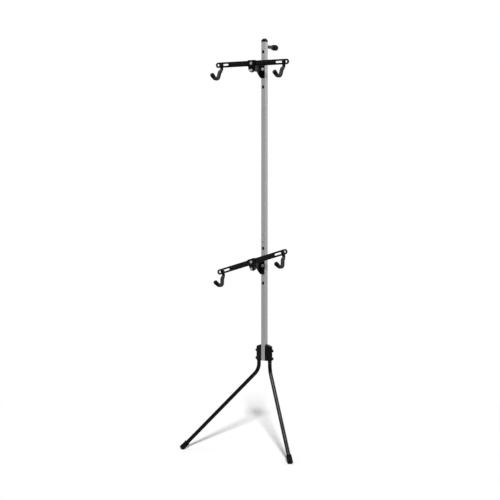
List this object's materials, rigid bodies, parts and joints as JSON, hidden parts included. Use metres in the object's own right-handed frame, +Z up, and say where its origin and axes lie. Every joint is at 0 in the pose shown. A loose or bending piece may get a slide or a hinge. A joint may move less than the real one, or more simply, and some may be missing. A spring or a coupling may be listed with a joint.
{
  "type": "floor-to-wall bike rack",
  "caption": "Floor-to-wall storage rack: a square post on splayed legs leans on a padded bumper and carries tilting crossbars with coated hooks that hold bicycles.",
  "frame": {"origin": "on the floor, under the middle of the rack's overall box", "axes": "+X to the right seen from the room, +Y to the wall, +Z up"},
  "size_m": [0.6964, 0.3822, 2.105],
  "materials": {
    "silver_paint": "satin silver paint",
    "black_paint": "semi-gloss black powder coat",
    "black_plastic": "fine moulded grain",
    "black_rubber": "matte",
    "hook_coating": "dipped vinyl, dull",
    "zinc_steel": "zinc plated",
    "black_steel": "black oxide"
  },
  "bodies": {
    "stand": {"lower_post": "silver_paint", "upper_post": "silver_paint", "splice_sleeve": "zinc_steel", "splice_screws": "zinc_steel", "post_cap": "black_plastic", "bumper_stem": "black_paint", "bumper_head": "black_rubber", "bumper_bolt": "zinc_steel", "left_leg": "black_paint", "right_leg": "black_paint", "left_foot": "black_rubber", "right_foot": "black_rubber", "left_leg_socket": "black_plastic", "right_leg_socket": "black_plastic", "leg_bolts": "black_steel", "leg_nuts": "black_steel", "bracket_bolts": "zinc_steel", "bracket_washers": "zinc_steel", "bracket_nuts": "zinc_steel", "pivot_bolts": "zinc_steel", "lock_bolts": "zinc_steel", "lock_washers": "black_steel", "clamp_nuts": "zinc_steel", "upper_arm_bracket": "black_paint", "lower_arm_bracket": "black_paint"},
    "upper_bar": {"upper_crossbar": "black_paint", "upper_tilt_plate": "black_paint"},
    "upper_left_carrier": {"upper_left_hook": "black_paint", "upper_left_hook_sleeve": "hook_coating", "upper_left_hook_tip": "black_rubber", "upper_left_hook_bolt": "black_steel", "upper_left_hook_nut": "zinc_steel"},
    "upper_right_carrier": {"upper_right_hook": "black_paint", "upper_right_hook_sleeve": "hook_coating", "upper_right_hook_tip": "black_rubber", "upper_right_hook_bolt": "black_steel", "upper_right_hook_nut": "zinc_steel"},
    "lower_bar": {"lower_crossbar": "black_paint", "lower_tilt_plate": "black_paint"},
    "lower_left_carrier": {"lower_left_hook": "black_paint", "lower_left_hook_sleeve": "hook_coating", "lower_left_hook_tip": "black_rubber", "lower_left_hook_bolt": "black_steel", "lower_left_hook_nut": "zinc_steel"},
    "lower_right_carrier": {"lower_right_hook": "black_paint", "lower_right_hook_sleeve": "hook_coating", "lower_right_hook_tip": "black_rubber", "lower_right_hook_bolt": "black_steel", "lower_right_hook_nut": "zinc_steel"}
  },
  "joints": [
    {"name": "upper_tilt", "type": "hinge", "parent": "stand", "child": "upper_bar", "pos_m": [0, -0.03061, 1.971], "axis": [0, -1, 0], "range_deg": [-20, 20]},
    {"name": "upper_left_slide", "type": "slide", "parent": "upper_bar", "child": "upper_left_carrier", "axis": [1, 0, 0], "range_m": [-0.003, 0.042]},
    {"name": "upper_right_slide", "type": "slide", "parent": "upper_bar", "child": "upper_right_carrier", "axis": [-1, 0, 0], "range_m": [-0.003, 0.042]},
    {"name": "lower_tilt", "type": "hinge", "parent": "stand", "child": "lower_bar", "pos_m": [0, -0.03061, 0.97], "axis": [0, -1, 0], "range_deg": [-36, 4]},
    {"name": "lower_left_slide", "type": "slide", "parent": "lower_bar", "child": "lower_left_carrier", "axis": [0.9613, 0, 0.2756], "range_m": [0, 0.045]},
    {"name": "lower_right_slide", "type": "slide", "parent": "lower_bar", "child": "lower_right_carrier", "axis": [-0.9613, 0, -0.2756], "range_m": [0, 0.045]}
  ]
}
